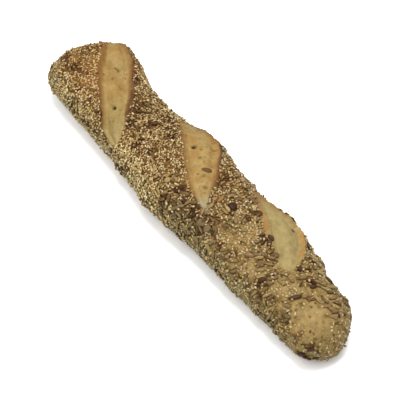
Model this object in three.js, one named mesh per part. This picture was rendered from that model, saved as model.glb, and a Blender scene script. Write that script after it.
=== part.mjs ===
// Seeded half baguette lying on its sole. Millimetres, +Z up.
//
// The loaf runs along X: the blunt, slightly skewed end is at -X, the rounded
// end at +X. The baked sole is flat on z = 0. Three long diagonal slashes cross
// the top from the +Y side down to the -Y side, and each one has opened as a
// shallow, crowned hollow between low crust lips. Seeds are too small to be
// part of the solid.
//
// A point of the crust is found from its place along the loaf, x, and its angle
// round the section, phi: 0 at the top, positive towards +Y, +-PI at the sole.

import * as THREE from 'three';

// ---- driving dimensions ----------------------------------------------------

const LENGTH = 410;               // tip to tip, before the skew of the ends

// half width of the section, and its sideways place, at nine even stations
const HALF_WIDTH = [45.1, 39.6, 36.6, 38.8, 41.8, 38.2, 38.2, 33.0, 31.8];
const SWAY = [3.7, 0.7, -2.8, -2.8, -2.5, 0.4, 2.0, 1.3, 0.0];

const HEIGHT_RATIO = 0.76;        // height of a section over its width
const AXIS_SHARE = 0.46;          // height of the widest point over the whole height
const SOLE_CUT = 1.14;            // lower half drawn this much too deep, then pressed flat at z = 0
const SQUARENESS = 2.15;          // superellipse exponent of the section

// rounded ends: length of the rounding, its exponent, skew in plan, lean, drop of the tip
const FAR_END = { cap: 30, power: 1.95, skew: 0.28, lean: 0.12, bow: -0.03, drop: 9.0 };
const NEAR_END = { cap: 30, power: 1.85, skew: -0.085, lean: 0.12, bow: 0.09, drop: 9.0 };
const END_REACH = 50;             // how far the skew and lean fade into the loaf

// oven spring: the side of the loaf swells beside each slash
const SWELLS = [
  { x: -158, phi: 0.45, rise: 0.10, length: 32, angle: 0.9 },
  { x: -25, phi: 0.75, rise: 0.14, length: 32, angle: 0.9 },
  { x: 87, phi: 0.90, rise: 0.115, length: 32, angle: 0.9 },
  // smaller unevenness of the sides and ends
  { x: -192, phi: -1.40, rise: 0.05, length: 14, angle: 0.5 },
  { x: -193, phi: -0.58, rise: 0.04, length: 12, angle: 0.4 },
  { x: -22, phi: -1.87, rise: 0.05, length: 16, angle: 0.5 },
  { x: 134, phi: 1.26, rise: 0.04, length: 12, angle: 0.4 },
  { x: 201, phi: 1.85, rise: -0.12, length: 10, angle: 0.5 },
  { x: 203, phi: -2.70, rise: 0.06, length: 8, angle: 0.5 },
];

// slashes, laid out on the crust rolled flat: along x, and across s = ROLL * phi
const ROLL = 40;
// depth is the drop from the lip to the floor beside it, and crown the share of it
// that the middle has risen again
const SLASHES = [
  { from: [-190, 25.5], to: [-77, -43], bend: 9.2, halfWidth: 14.7, start: 0.32, finish: 0.40, depth: 3.6, crown: 0.70 },
  { from: [-79, 50], to: [45, -23], bend: 5.3, halfWidth: 16.6, start: 0.34, finish: 0.74, depth: 3.2, crown: 0.85 },
  { from: [29.8, 63.4], to: [136.2, -1.9], bend: 4.9, halfWidth: 20.6, start: 0.51, finish: 0.59, depth: 2.4, crown: 1.25 },
];
const SLASH_EDGE = 5.0;           // width of the drop
const FOLD = 39;                  // s at which an opening ends, where the loaf turns down to its far side
const LIP_HEIGHT = 1.5;
const LIP_WIDTH = 5.0;

// facets
const END_RINGS = 8;              // sections in each rounded end
const BODY_RINGS = 72;            // sections between them
const FACETS = 46;                // points round each section
const TOP_SHARE = 0.25;           // how much closer together they are at the top than at the sides

// ---- helpers ---------------------------------------------------------------

const clamp01 = (t) => Math.min(Math.max(t, 0), 1);
const smooth = (t) => { const u = clamp01(t); return u * u * (3 - 2 * u); };
const signedPower = (v, p) => Math.sign(v) * Math.abs(v) ** p;
const wrap = (a) => a - 2 * Math.PI * Math.round(a / (2 * Math.PI));

// natural cubic spline through values at even stations over the loaf's length
function stationCurve(values) {
  const n = values.length;
  const h = LENGTH / (n - 1);
  const upper = new Array(n).fill(0);
  const right = new Array(n).fill(0);
  const bend = new Array(n).fill(0);
  for (let i = 1; i < n - 1; i++) {
    const rhs = 6 * (values[i + 1] - 2 * values[i] + values[i - 1]) / (h * h);
    const m = 4 - upper[i - 1];
    upper[i] = 1 / m;
    right[i] = (rhs - right[i - 1]) / m;
  }
  for (let i = n - 2; i > 0; i--) bend[i] = right[i] - upper[i] * bend[i + 1];
  return (x) => {
    const u = Math.min(Math.max((x + LENGTH / 2) / h, 0), n - 1);
    const i = Math.min(Math.floor(u), n - 2);
    const b = u - i;
    const a = 1 - b;
    return a * values[i] + b * values[i + 1]
      + ((a ** 3 - a) * bend[i] + (b ** 3 - b) * bend[i + 1]) * h * h / 6;
  };
}

const halfWidthAt = stationCurve(HALF_WIDTH);
const swayAt = stationCurve(SWAY);

// size of the section near an end, 0 at the tip and 1 past the rounding
const rounding = (distance, end) => (1 - (1 - clamp01(distance / end.cap)) ** end.power) ** (1 / end.power);

// where along a rounded end the section has grown to the share e
const roundingAt = (e, end) => end.cap * (1 - (1 - e ** end.power) ** (1 / end.power));

// height of the crust over the plain section, from the slashes
function slashRelief(x, phi) {
  let relief = 0;
  for (const cut of SLASHES) {
    const [x0, s0] = cut.from;
    const [x1, s1] = cut.to;
    const length = Math.hypot(x1 - x0, s1 - s0);
    const ax = (x1 - x0) / length;
    const as = (s1 - s0) / length;
    const dx = x - x0;
    const ds = ROLL * wrap(phi) - s0;
    const t = (dx * ax + ds * as) / length;
    if (t <= 0 || t >= 1) continue;
    const across = -dx * as + ds * ax - cut.bend * 4 * t * (1 - t);
    const peak = cut.start / (cut.start + cut.finish);
    const half = cut.halfWidth * (t / peak) ** cut.start * ((1 - t) / (1 - peak)) ** cut.finish;
    const inside = Math.min(half - Math.abs(across), FOLD - ROLL * wrap(phi));
    if (inside > 0) {
      const crown = 1 - cut.crown * smooth(inside / half * 1.2 - 0.1);
      relief -= cut.depth * smooth(inside / SLASH_EDGE) * crown * smooth(half / 8);
    }
    relief += LIP_HEIGHT * Math.exp(-((inside / LIP_WIDTH) ** 2)) * smooth(half / 8);
  }
  return relief;
}

// a point of the crust
function crustPoint(x, phi) {
  const end = x < 0 ? FAR_END : NEAR_END;
  const size = rounding(x + LENGTH / 2, FAR_END) * rounding(LENGTH / 2 - x, NEAR_END);
  const a = halfWidthAt(x);
  const height = 2 * a * HEIGHT_RATIO;
  const axis = height * AXIS_SHARE;
  const top = height - axis;
  const across = signedPower(Math.sin(phi), 2 / SQUARENESS);
  const rise = signedPower(Math.cos(phi), 2 / SQUARENESS);
  let y = a * across;
  let z = rise > 0 ? top * rise : axis * SOLE_CUT * rise;
  let swell = 1;
  for (const s of SWELLS) {
    swell += s.rise * Math.exp(-(((x - s.x) / s.length) ** 2) - (wrap(phi - s.phi) / s.angle) ** 2);
  }
  swell += slashRelief(x, phi) / Math.hypot(y, z);
  y *= swell * size;
  z *= swell * size;
  const fade = Math.exp(-(((LENGTH / 2 - Math.abs(x)) / END_REACH) ** 2));
  return new THREE.Vector3(
    x + fade * (end.skew * y + end.lean * z + end.bow * y * y / 40),
    swayAt(x) + y,
    Math.max(axis - end.drop * (1 - size) + z, 0),
  );
}

// ---- the loaf: sections joined into one closed skin --------------------------

function loafGeometry() {
  const xs = [];
  for (let k = 1; k <= END_RINGS; k++) {
    xs.push(-LENGTH / 2 + roundingAt(Math.sin(0.5 * Math.PI * k / END_RINGS), FAR_END));
  }
  const from = -LENGTH / 2 + FAR_END.cap;
  const to = LENGTH / 2 - NEAR_END.cap;
  for (let k = 1; k <= BODY_RINGS; k++) xs.push(from + (to - from) * k / (BODY_RINGS + 1));
  for (let k = END_RINGS; k >= 1; k--) {
    xs.push(LENGTH / 2 - roundingAt(Math.sin(0.5 * Math.PI * k / END_RINGS), NEAR_END));
  }

  const points = [];
  for (const x of xs) {
    for (let j = 0; j < FACETS; j++) {
      const turn = -Math.PI + 2 * Math.PI * (j + 0.5) / FACETS;
      points.push(crustPoint(x, turn - TOP_SHARE * Math.sin(turn)));
    }
  }
  const farTip = points.push(crustPoint(-LENGTH / 2, 0)) - 1;
  const nearTip = points.push(crustPoint(LENGTH / 2, 0)) - 1;

  // the origin is under the middle of the loaf
  const box = new THREE.Box3().setFromPoints(points);
  const middle = box.getCenter(new THREE.Vector3());
  middle.z = box.min.z;

  const index = [];
  const at = (i, j) => i * FACETS + (j % FACETS);
  for (let i = 0; i < xs.length - 1; i++) {
    for (let j = 0; j < FACETS; j++) {
      const a = at(i, j);
      const b = at(i + 1, j);
      const c = at(i + 1, j + 1);
      const d = at(i, j + 1);
      // the shorter diagonal follows the relief better
      if (points[a].distanceTo(points[c]) <= points[b].distanceTo(points[d])) index.push(a, b, c, a, c, d);
      else index.push(a, b, d, b, c, d);
    }
  }
  const last = xs.length - 1;
  for (let j = 0; j < FACETS; j++) {
    index.push(farTip, at(0, j), at(0, j + 1));
    index.push(nearTip, at(last, j + 1), at(last, j));
  }

  const geometry = new THREE.BufferGeometry();
  geometry.setAttribute('position', new THREE.Float32BufferAttribute(
    points.flatMap((p) => [p.x - middle.x, p.y - middle.y, p.z - middle.z]), 3));
  geometry.setIndex(index);
  geometry.computeVertexNormals();
  return geometry;
}

const crust = new THREE.MeshStandardMaterial({ color: 0x9a7a48, roughness: 0.85, metalness: 0 });

const loaf = new THREE.Mesh(loafGeometry(), crust);
loaf.name = 'loaf';

const baguette = new THREE.Group();
baguette.add(loaf);

export default baguette;
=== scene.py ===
import math

import bpy
import mathutils
import numpy as np
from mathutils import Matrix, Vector


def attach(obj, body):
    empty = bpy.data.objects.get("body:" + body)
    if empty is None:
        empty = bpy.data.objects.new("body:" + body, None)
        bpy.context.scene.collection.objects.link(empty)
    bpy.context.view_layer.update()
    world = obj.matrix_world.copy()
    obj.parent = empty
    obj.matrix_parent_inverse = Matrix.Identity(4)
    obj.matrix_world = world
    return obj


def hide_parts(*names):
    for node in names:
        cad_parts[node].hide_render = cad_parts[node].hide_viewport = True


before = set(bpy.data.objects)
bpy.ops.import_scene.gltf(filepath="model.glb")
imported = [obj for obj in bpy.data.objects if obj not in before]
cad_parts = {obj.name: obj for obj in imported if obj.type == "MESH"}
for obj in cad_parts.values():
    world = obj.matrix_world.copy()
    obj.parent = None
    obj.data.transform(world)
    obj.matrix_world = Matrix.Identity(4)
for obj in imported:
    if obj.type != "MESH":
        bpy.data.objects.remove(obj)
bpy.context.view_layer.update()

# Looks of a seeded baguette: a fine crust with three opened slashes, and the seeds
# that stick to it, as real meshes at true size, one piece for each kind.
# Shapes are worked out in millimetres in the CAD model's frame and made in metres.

SEED = 4107
TAU = 2 * math.pi

# ---- the loaf, as in the CAD model ------------------------------------------------------

LENGTH = 410.0
HALF_WIDTH = (45.1, 39.6, 36.6, 38.8, 41.8, 38.2, 38.2, 33.0, 31.8)
SWAY = (3.7, 0.7, -2.8, -2.8, -2.5, 0.4, 2.0, 1.3, 0.0)
HEIGHT_RATIO, AXIS_SHARE, SOLE_CUT, SQUARENESS = 0.76, 0.46, 1.14, 2.15
FAR_END = dict(cap=30, power=1.95, skew=0.28, lean=0.12, bow=-0.03, drop=9.0)
NEAR_END = dict(cap=30, power=1.85, skew=-0.085, lean=0.12, bow=0.09, drop=9.0)
END_REACH = 50.0
SWELLS = (
    # x, phi, rise, length, angle
    (-158, 0.45, 0.10, 32, 0.9), (-25, 0.75, 0.14, 32, 0.9), (87, 0.90, 0.115, 32, 0.9),
    (-192, -1.40, 0.05, 14, 0.5), (-193, -0.58, 0.04, 12, 0.4), (-22, -1.87, 0.05, 16, 0.5),
    (134, 1.26, 0.04, 12, 0.4), (201, 1.85, -0.12, 10, 0.5), (203, -2.70, 0.06, 8, 0.5),
)
ROLL = 40.0
SLASHES = (
    # from (x, s), to (x, s), bend, half width, start and finish exponents, depth, crown
    ((-190, 25.5), (-77, -43), 9.2, 14.6, 0.32, 0.31, 3.6, 0.75),
    ((-79, 50), (45, -23), 5.3, 16.6, 0.34, 0.74, 3.2, 0.88),
    ((29.8, 63.4), (136.2, -1.9), 4.9, 20.6, 0.51, 0.59, 2.4, 1.25),
)
MIDDLE = (-1.423, -0.603)  # what the CAD model moves by to stand over its origin


def smooth(t):
    t = np.clip(t, 0.0, 1.0)
    return t * t * (3 - 2 * t)


def lin(r, g, b):
    """An sRGB colour, 0 to 255, as linear numbers."""
    c = np.array([r, g, b], float) / 255
    return np.where(c <= 0.04045, c / 12.92, ((c + 0.055) / 1.055) ** 2.4)


def station_curve(values):
    """Natural cubic spline through values at even stations over the loaf's length."""
    v = np.array(values, float)
    n, h = len(v), LENGTH / (len(v) - 1)
    a, r = np.eye(n), np.zeros(n)
    for i in range(1, n - 1):
        a[i, i - 1], a[i, i], a[i, i + 1] = 1, 4, 1
        r[i] = 6 * (v[i + 1] - 2 * v[i] + v[i - 1]) / h**2
    m = np.linalg.solve(a, r)

    def curve(x):
        u = np.clip((x + LENGTH / 2) / h, 0, n - 1)
        i = np.minimum(np.floor(u).astype(int), n - 2)
        q = u - i
        p = 1 - q
        return p * v[i] + q * v[i + 1] + ((p**3 - p) * m[i] + (q**3 - q) * m[i + 1]) * h * h / 6

    return curve


half_width_at, sway_at = station_curve(HALF_WIDTH), station_curve(SWAY)


def rounding(d, end):
    return (1 - (1 - np.clip(d / end["cap"], 0, 1)) ** end["power"]) ** (1 / end["power"])


def rounding_at(e, end):
    return end["cap"] * (1 - (1 - e ** end["power"]) ** (1 / end["power"]))


def wrap(a):
    return a - TAU * np.round(a / TAU)


# ---- noise ------------------------------------------------------------------------------


class Noise:
    """Seeded gradient noise in space, about -1 to 1."""

    def __init__(self, seed):
        r = np.random.default_rng(seed)
        self.perm = np.concatenate([r.permutation(256)] * 2)
        g = r.normal(size=(256, 3))
        self.grad = g / np.linalg.norm(g, axis=1, keepdims=True)

    def __call__(self, p, size):
        q = np.asarray(p, float) / size
        i = np.floor(q).astype(int)
        f = q - i
        u = f * f * f * (f * (f * 6 - 15) + 10)
        i &= 255
        out = 0.0
        for a in (0, 1):
            wa = u[..., 0] if a else 1 - u[..., 0]
            for b in (0, 1):
                wb = u[..., 1] if b else 1 - u[..., 1]
                for c in (0, 1):
                    wc = u[..., 2] if c else 1 - u[..., 2]
                    h = self.perm[self.perm[self.perm[(i[..., 0] + a) & 255] + ((i[..., 1] + b) & 255)] + ((i[..., 2] + c) & 255)]
                    g = self.grad[h]
                    d = g[..., 0] * (f[..., 0] - a) + g[..., 1] * (f[..., 1] - b) + g[..., 2] * (f[..., 2] - c)
                    out = out + wa * wb * wc * d
        return out * 1.6


lumps, grains, streaks, patches, spots = (Noise(SEED + k) for k in range(5))


def roll_space(x, phi):
    """A seamless place in space for noise on the crust."""
    return np.stack([x, ROLL * np.sin(phi), ROLL * np.cos(phi)], -1)


# ---- slashes ----------------------------------------------------------------------------

# rims of the slashes, browned in baking and darkened with painted shade at the lip edges: slash, side (-1 towards -Y),
# from and to along it, width outside and inside the edge, colour
LIPS = (
    (0, -1, 0.00, 0.82, 2.0, 3.8, (116, 72, 29)), (0, 1, 0.00, 0.80, 3.2, 4.4, (94, 55, 34)),
    (1, -1, 0.30, 0.86, 2.0, 1.0, (144, 106, 62)), (1, 1, 0.12, 0.84, 2.6, 2.4, (116, 72, 44)), (1, 1, 0.38, 0.56, 3.4, 1.2, (62, 38, 26)),
    (2, -1, 0.24, 0.50, 4.2, 0.8, (148, 110, 74)), (2, -1, 0.48, 0.72, 4.4, 1.2, (160, 112, 54)), (2, 1, 0.62, 0.90, 1.0, 6.0, (176, 126, 62)),
)
# where an opening is wider or narrower than its plain shape: slash, side, along it, reach, by how much
UNEVEN = (
    (0, -1, 0.88, 0.08, 5.0), (0, 1, 0.86, 0.06, 1.2), (1, 1, 0.68, 0.16, -1.2), (2, 1, 0.71, 0.09, -3.2), (2, 1, 0.90, 0.07, -1.2), (2, -1, 0.96, 0.05, 1.4),
)

FOLD = 36.0  # how far round the crust the openings reach on the far side
SLASH_EDGE = 3.2
LIP_HEIGHT, LIP_WIDTH = 1.4, 3.4


def rounded_least(a, b, soft=1.6):
    """The smaller of two distances, with the corner between them rounded."""
    low = np.minimum(a, b)
    return low - soft * np.log1p(np.exp(-np.minimum(np.abs(a - b) / soft, 40)))


def slash_places(x, phi):
    """For each slash: place along it 0 to 1, distance across it, its half width there, and how far inside its edge, in mm."""
    for k, ((x0, s0), (x1, s1), bend, width, start, finish, depth, crown) in enumerate(SLASHES):
        length = math.hypot(x1 - x0, s1 - s0)
        ax, a_s = (x1 - x0) / length, (s1 - s0) / length
        dx, ds = x - x0, ROLL * wrap(phi) - s0
        t = (dx * ax + ds * a_s) / length
        across = -dx * a_s + ds * ax - bend * 4 * t * (1 - t)
        tc = np.clip(t, 1e-4, 1 - 1e-4)
        peak = start / (start + finish)
        half = width * (tc / peak) ** start * ((1 - tc) / (1 - peak)) ** finish
        half = half + (0.8 * lumps(np.stack([t * length, np.sign(across) * 30.0, half * 0 + x0], -1), 8.0)
                       + 0.5 * lumps(np.stack([t * length, np.sign(across) * 30.0, half * 0 + x0 + 70], -1), 3.1)) * np.minimum(half / 6, 1)
        for which, sign, at, reach, by in UNEVEN:
            if which == k:
                half = half + by * (across * sign > 0) * np.exp(-(((t - at) / reach) ** 2)) * np.minimum(half / 6, 1)
        inside = np.where((t > 0) & (t < 1), half - np.abs(across), -99.0)
        # the opening ends in a lip where the loaf turns down to its far side
        ragged = 1.4 * lumps(np.stack([x, x * 0 + s0, x * 0 + 5.0], -1), 12.0) + 0.8 * lumps(np.stack([x, x * 0 + s0, x * 0 + 95.0], -1), 4.0)
        s = ROLL * wrap(phi)
        if k == 1:
            inside = rounded_least(inside, rounded_least(FOLD - 0.5 + ragged - s, 0.97 * (x + 56.5 - 0.27 * (s - 26)) + ragged))
        if k == 2:
            inside = rounded_least(inside, FOLD + 0.5 - 1.0 * smooth((x - 98) / 12) + ragged - s)
        yield t, across, np.maximum(half, 0.1), inside, length, depth, crown


def pit_list():
    """Small pits in the slashes: slash, place along, place across, radius, depth."""
    r = np.random.default_rng(SEED + 20)
    pits = []
    for k, many in enumerate((30, 34, 12)):
        for _ in range(many):
            pits.append((k, r.uniform(0.08, 0.92), r.uniform(-0.85, 0.85), r.uniform(0.45, 1.0), r.uniform(0.15, 0.5)))
    return pits


PITS = pit_list()
# pits and marks that stand out, by place on the crust: x, s, radius, depth, darkness (brown marks, and painted shade in
# the deeper holes)
HOLES = (
    (-108.2, -16.0, 1.8, 3.0, 2.4), (-112.0, -16.5, 1.9, 0.5, 0.55), (-110.5, -14.0, 1.2, 0.4, 0.4), (-137.5, 0.5, 1.7, 0.5, 0.75),
    (-146.5, -4.0, 0.9, 0.5, 1.0), (-133.5, 12.5, 0.9, 0.4, 0.8), (-138.0, 8.5, 0.8, 0.4, 0.7), (-131.0, 8.0, 0.7, 0.3, 0.6), (-99.0, -17.0, 1.0, 0.3, 0.5),
    (-17.5, 10.8, 1.8, 1.6, 2.6), (-24.5, 22.0, 1.0, 0.5, 1.1), (-36.5, 15.5, 1.1, 0.5, 0.9), (-11.0, 13.5, 1.1, 0.5, 0.8), (-3.5, 7.5, 1.6, 0.5, 0.8),
    (-1.5, 11.5, 1.1, 0.4, 0.6), (2.5, 8.0, 0.9, 0.4, 0.7), (10.0, -2.5, 1.1, 0.5, 0.9), (15.0, -1.0, 1.9, 0.4, 0.5), (25.5, -6.0, 2.0, 0.5, 0.8),
    (29.5, -10.0, 1.3, 0.4, 0.7), (22.0, 5.0, 0.8, 0.4, 0.6), (9.5, 11.5, 0.8, 0.4, 0.7), (-12.0, 20.0, 1.1, 0.4, 0.8),
    (101.5, 31.0, 2.0, 0.8, 2.4), (82.0, 16.0, 0.8, 0.4, 0.6), (85.0, 18.5, 0.8, 0.4, 0.7), (119.0, 2.0, 2.2, 0.5, 0.4), (99.0, 25.0, 0.7, 0.3, 0.4),
)
# creases of the opened skin: from (x, s) to (x, s), width, depth, darkness (painted shade in the crease)
CREASES = (
    (-147.5, 5.5, -142, 10, 0.9, 0.8, 1.3), (-145.5, 9.0, -142.5, 11.5, 0.6, 0.5, 0.8), (-126.5, 0.5, -122, 3.5, 0.7, 0.5, 0.8), (-124.5, -1.5, -121, 1.0, 0.7, 0.5, 0.7),
    (-152, 2, -148, 4, 0.6, 0.4, 0.5), (-118, -4, -115, -2, 0.6, 0.4, 0.5),
    (-16.5, 22, -13, 28, 0.7, 0.5, 0.9), (-8.5, 22, -7, 29, 0.8, 0.6, 1.1), (-13.5, 25.5, -9, 26.5, 0.6, 0.4, 0.7), (-6, 18, -4, 22, 0.6, 0.4, 0.6), (-2, 16, 2, 20, 0.6, 0.3, 0.5),
    (106, 24, 109, 21, 0.8, 0.5, 0.7), (85.5, 20.5, 93.5, 18.5, 0.5, 0.3, 0.35), (113, 16.5, 116.5, 14.5, 0.6, 0.4, 0.4), (66, 38, 73, 36, 0.7, 0.4, 0.5),
    (92, 14, 100, 10, 0.5, 0.3, 0.3),
)


def slash_fields(x, phi):
    """Relief, how far inside a slash (mm, the most over the slashes), place along and across that slash, which one, and
    darkness of its pits, holes and creases, which is painted shade in these hollows along with some brown marks.
    """
    shape = x.shape
    x, phi = x.ravel(), phi.ravel()
    relief = np.zeros_like(x)
    inside_most = np.full_like(x, -99.0)
    along = np.zeros_like(x)
    side = np.zeros_like(x)
    which = np.full(x.shape, -1)
    dark = np.zeros_like(x)
    s = ROLL * wrap(phi)
    for k, (t, across, half, inside, length, depth, crown) in enumerate(slash_places(x, phi)):
        take = inside > inside_most
        inside_most = np.where(take, inside, inside_most)
        along = np.where(take, t, along)
        side = np.where(take, across / half, side)
        which = np.where(take, k, which)
        c = np.nonzero(inside > -14)[0]
        t, across, half, inside = t[c], across[c], half[c], inside[c]
        grown = smooth(half / 7)
        lip = LIP_HEIGHT * (0.8 + ((1.15, 1.5, 1.8)[k] - 0.8) * smooth(across / 8 + 0.5))
        relief[c] += lip * np.exp(-((inside / LIP_WIDTH) ** 2)) * grown
        o = inside > 0
        c, t, across, half, inside, grown = c[o], t[o], across[o], half[o], inside[o], grown[o]
        rise = 1 - crown * smooth(inside / half * 1.15 - 0.12)
        r = -depth * smooth(inside / SLASH_EDGE) * rise * grown
        # the skin of the opening is drawn into faint folds along it
        fold = streaks(np.stack([t * length / 4.0, across, half * 0 + 50.0 * k], -1), 3.4)
        r += 0.30 * fold * smooth(inside / 4)
        fold = streaks(np.stack([t * length / 1.6, across * 0.8, half * 0 + 50.0 * k + 9], -1), 7.0)
        r += 0.7 * fold * smooth(inside / 6)
        d = np.zeros_like(r)
        for kk, pt, pv, radius, sink in PITS:
            if kk == k:
                d2 = ((t - pt) * length) ** 2 + (across - pv * half) ** 2
                n = np.nonzero(d2 < 9 * radius**2)[0]
                dip = np.exp(-d2[n] / radius**2) * (inside[n] > 1)
                r[n] -= sink * dip
                # the deeper a pit, the darker: painted shade in the pit
                d[n] += (1.1, 1.3, 0.5)[k] * dip * sink
        relief[c] += r
        dark[c] += d
    for hx, hs, radius, depth, shade in HOLES:
        d2 = (x - hx) ** 2 + (s - hs) ** 2
        n = np.nonzero(d2 < 9 * radius**2)[0]
        dip = np.exp(-((d2[n] / radius**2) ** 1.5))
        relief[n] -= depth * dip
        # brown marks, and painted shade in the deeper holes
        dark[n] += shade * dip
    for x0, s0, x1, s1, wide, depth, shade in CREASES:
        d = np.hypot(x1 - x0, s1 - s0)
        u = ((x - x0) * (x1 - x0) + (s - s0) * (s1 - s0)) / d**2
        v = ((x - x0) * -(s1 - s0) + (s - s0) * (x1 - x0)) / d
        n = np.nonzero((u > -0.2) & (u < 1.2) & (np.abs(v) < 4 * wide))[0]
        v = v[n] + 0.8 * np.sin(u[n] * 5 + x0)
        dip = np.exp(-((v / wide) ** 2)) * smooth(4 * u[n] + 0.4) * smooth(4 * (1 - u[n]) + 0.4)
        relief[n] -= depth * dip
        # painted shade in the crease
        dark[n] += shade * dip * 0.8
    back = lambda v: v.reshape(shape)
    return back(relief), back(inside_most), back(along), back(side), back(which), back(np.clip(dark, 0, 2))


# ---- the crust --------------------------------------------------------------------------


SEED_BED = 0.6  # how much lower than the CAD skin the crust is under the seeds
# the loaf's own unevenness: x, s, reach along and across, height
BUMPS = (
    (98, 45, 6, 12, -1.0), (86, 44, 6, 12, 0.8), (113, 46, 6, 12, 1.2), (33, 46, 11, 12, 1.6), (-34, 40, 7, 12, 0.8), (-14, 42, 6, 10, 1.2), (-71, 42, 10, 10, 1.4),
    (18.5, 46, 8, 10, -1.2), (-190, -52, 8, 10, -2.0), (151, 52, 9, 10, -2.8), (196, -85, 8, 12, -2.4),
    (4, -72, 8, 12, -1.0), (22, -76, 7, 10, -1.4), (-66, -76, 8, 10, 0.6), (-88, -76, 8, 10, -1.2), (-101, 44, 8, 10, 1.4), (-177, 40, 8, 10, 1.2), (-146, 34, 10, 10, 1.8), (-190, -34, 8, 10, -1.2), (124, 46, 5, 10, -0.8), (135, 48, 6, 10, 1.2), (183, 46, 8, 10, 1.4), (202, 8, 5, 14, -1.8), (105, -78, 8, 10, 1.2), (-193, 6, 7, 10, 1.0),
)


def crust(x, phi):
    """A point of the crust in mm in the CAD frame, from its place along the loaf and round it."""
    size = rounding(x + LENGTH / 2, FAR_END) * rounding(LENGTH / 2 - x, NEAR_END)
    a = half_width_at(x)
    height = 2 * a * HEIGHT_RATIO
    axis = height * AXIS_SHARE
    top = height - axis
    sn, cs = np.sin(phi), np.cos(phi)
    across = np.sign(sn) * np.abs(sn) ** (2 / SQUARENESS)
    rise = np.sign(cs) * np.abs(cs) ** (2 / SQUARENESS)
    y = a * across
    z = np.where(rise > 0, top * rise, axis * SOLE_CUT * rise)
    swell = np.ones_like(x)
    for sx, sp, amount, reach, angle in SWELLS:
        swell += amount * np.exp(-(((x - sx) / reach) ** 2) - (wrap(phi - sp) / angle) ** 2)
    relief, inside, _, _, _, _ = slash_fields(x, phi)
    p = roll_space(x, phi)
    rough = 1 - 0.75 * smooth(inside / 3)
    s = ROLL * wrap(phi)
    for bx, bs, rx, rs, height in BUMPS:
        relief = relief + height * np.exp(-(((x - bx) / rx) ** 2) - ((s - bs) / rs) ** 2)
    relief = relief + 0.9 * lumps(p, 26.0) + rough * (0.85 * lumps(p + 100, 9.0) + 0.40 * grains(p, 3.6) - SEED_BED)
    swell += relief / np.maximum(np.hypot(y, z), 1.0)
    y, z = y * swell * size, z * swell * size
    fade = np.exp(-(((LENGTH / 2 - np.abs(x)) / END_REACH) ** 2))
    far = x < 0
    pick = lambda key: np.where(far, FAR_END[key], NEAR_END[key])
    X = x + fade * (pick("skew") * y + pick("lean") * z + pick("bow") * y * y / 40)
    Y = sway_at(x) + y
    Z = axis - pick("drop") * (1 - size) + z
    # the pressed sole is flat, with shallow dimples
    dimple = 0.5 * smooth(-Z / 2.5) * np.clip(0.25 + grains(p + 40, 6.0) + 0.6 * grains(p + 80, 2.5), 0, 1)
    Z = np.maximum(Z, 0) + dimple
    return np.stack([X - MIDDLE[0], Y - MIDDLE[1], Z], -1)


def crust_frame(x, phi):
    """Points with their outward normal and the direction along the loaf."""
    e = 0.9
    p = crust(x, phi)
    du = crust(np.minimum(x + e, LENGTH / 2 - 0.01), phi) - crust(np.maximum(x - e, -LENGTH / 2 + 0.01), phi)
    dv = crust(x, phi + e / ROLL) - crust(x, phi - e / ROLL)
    n = np.cross(dv, du)
    n /= np.maximum(np.linalg.norm(n, axis=-1, keepdims=True), 1e-9)
    out = p - np.stack([p[..., 0] * 0 + np.clip(p[..., 0], -175, 175), p[..., 1] * 0, p[..., 2] * 0 + 28], -1)
    n *= np.sign((n * out).sum(-1, keepdims=True) + 1e-12)
    u = du - n * (du * n).sum(-1, keepdims=True)
    u /= np.maximum(np.linalg.norm(u, axis=-1, keepdims=True), 1e-9)
    return p, n, u


# ---- where the seeds lie ----------------------------------------------------------------


def patch(x, s, cx, cs, rx, rs):
    return np.exp(-(((x - cx) / rx) ** 2) - ((s - cs) / rs) ** 2)


def sesame_density(x, s):
    """1 where sesame covers the crust."""
    d = 1.08 - 0.22 * smooth((x - 20) / 50) - 0.14 * smooth((x - 70) / 50) - 0.15 * smooth((x - 150) / 25)
    d -= 0.45 * patch(x, s, 82, -20, 16, 9) + 0.64 * patch(x, s, 178, -12, 18, 20) + 0.25 * patch(x, s, 66, -24, 10, 7)
    d -= 0.40 * patch(x, s, 122, -28, 20, 7) + 0.30 * patch(x, s, 148, -22, 14, 12) + 0.25 * patch(x, s, 130, -10, 14, 7)
    d -= 0.10 * patch(x, s, -172, -8, 24, 16) + 0.35 * patch(x, s, 34, 38, 10, 10)
    d -= 0.40 * patch(x, s, 6, -14.5, 14, 4) + 0.25 * patch(x, s, -135, -14, 14, 4)
    d += 0.25 * patch(x, s, 60, -58, 70, 14) + 0.10 * patch(x, s, 168, -46, 20, 10)
    return np.clip(d, 0.06, 1)


def kernel_density(x, s):
    """Scattered sunflower kernels to the square millimetre, before those that don't fit are left out."""
    d = 0.0004 + 0.0014 * smooth((x - 10) / 40) * smooth((186 - x) / 20)
    d += 0.006 * smooth((x - 5) / 40) * smooth((-s - 58) / 10) * smooth((184 - x) / 20)
    d += 0.010 * smooth((x - 5) / 40) * smooth((s - 34) / 14) * smooth((184 - x) / 20)
    d -= 0.010 * patch(x, s, 180, -14, 15, 20) + 0.010 * patch(x, s, 84, -22, 14, 8)
    return np.clip(d, 0, 0.02)


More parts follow.
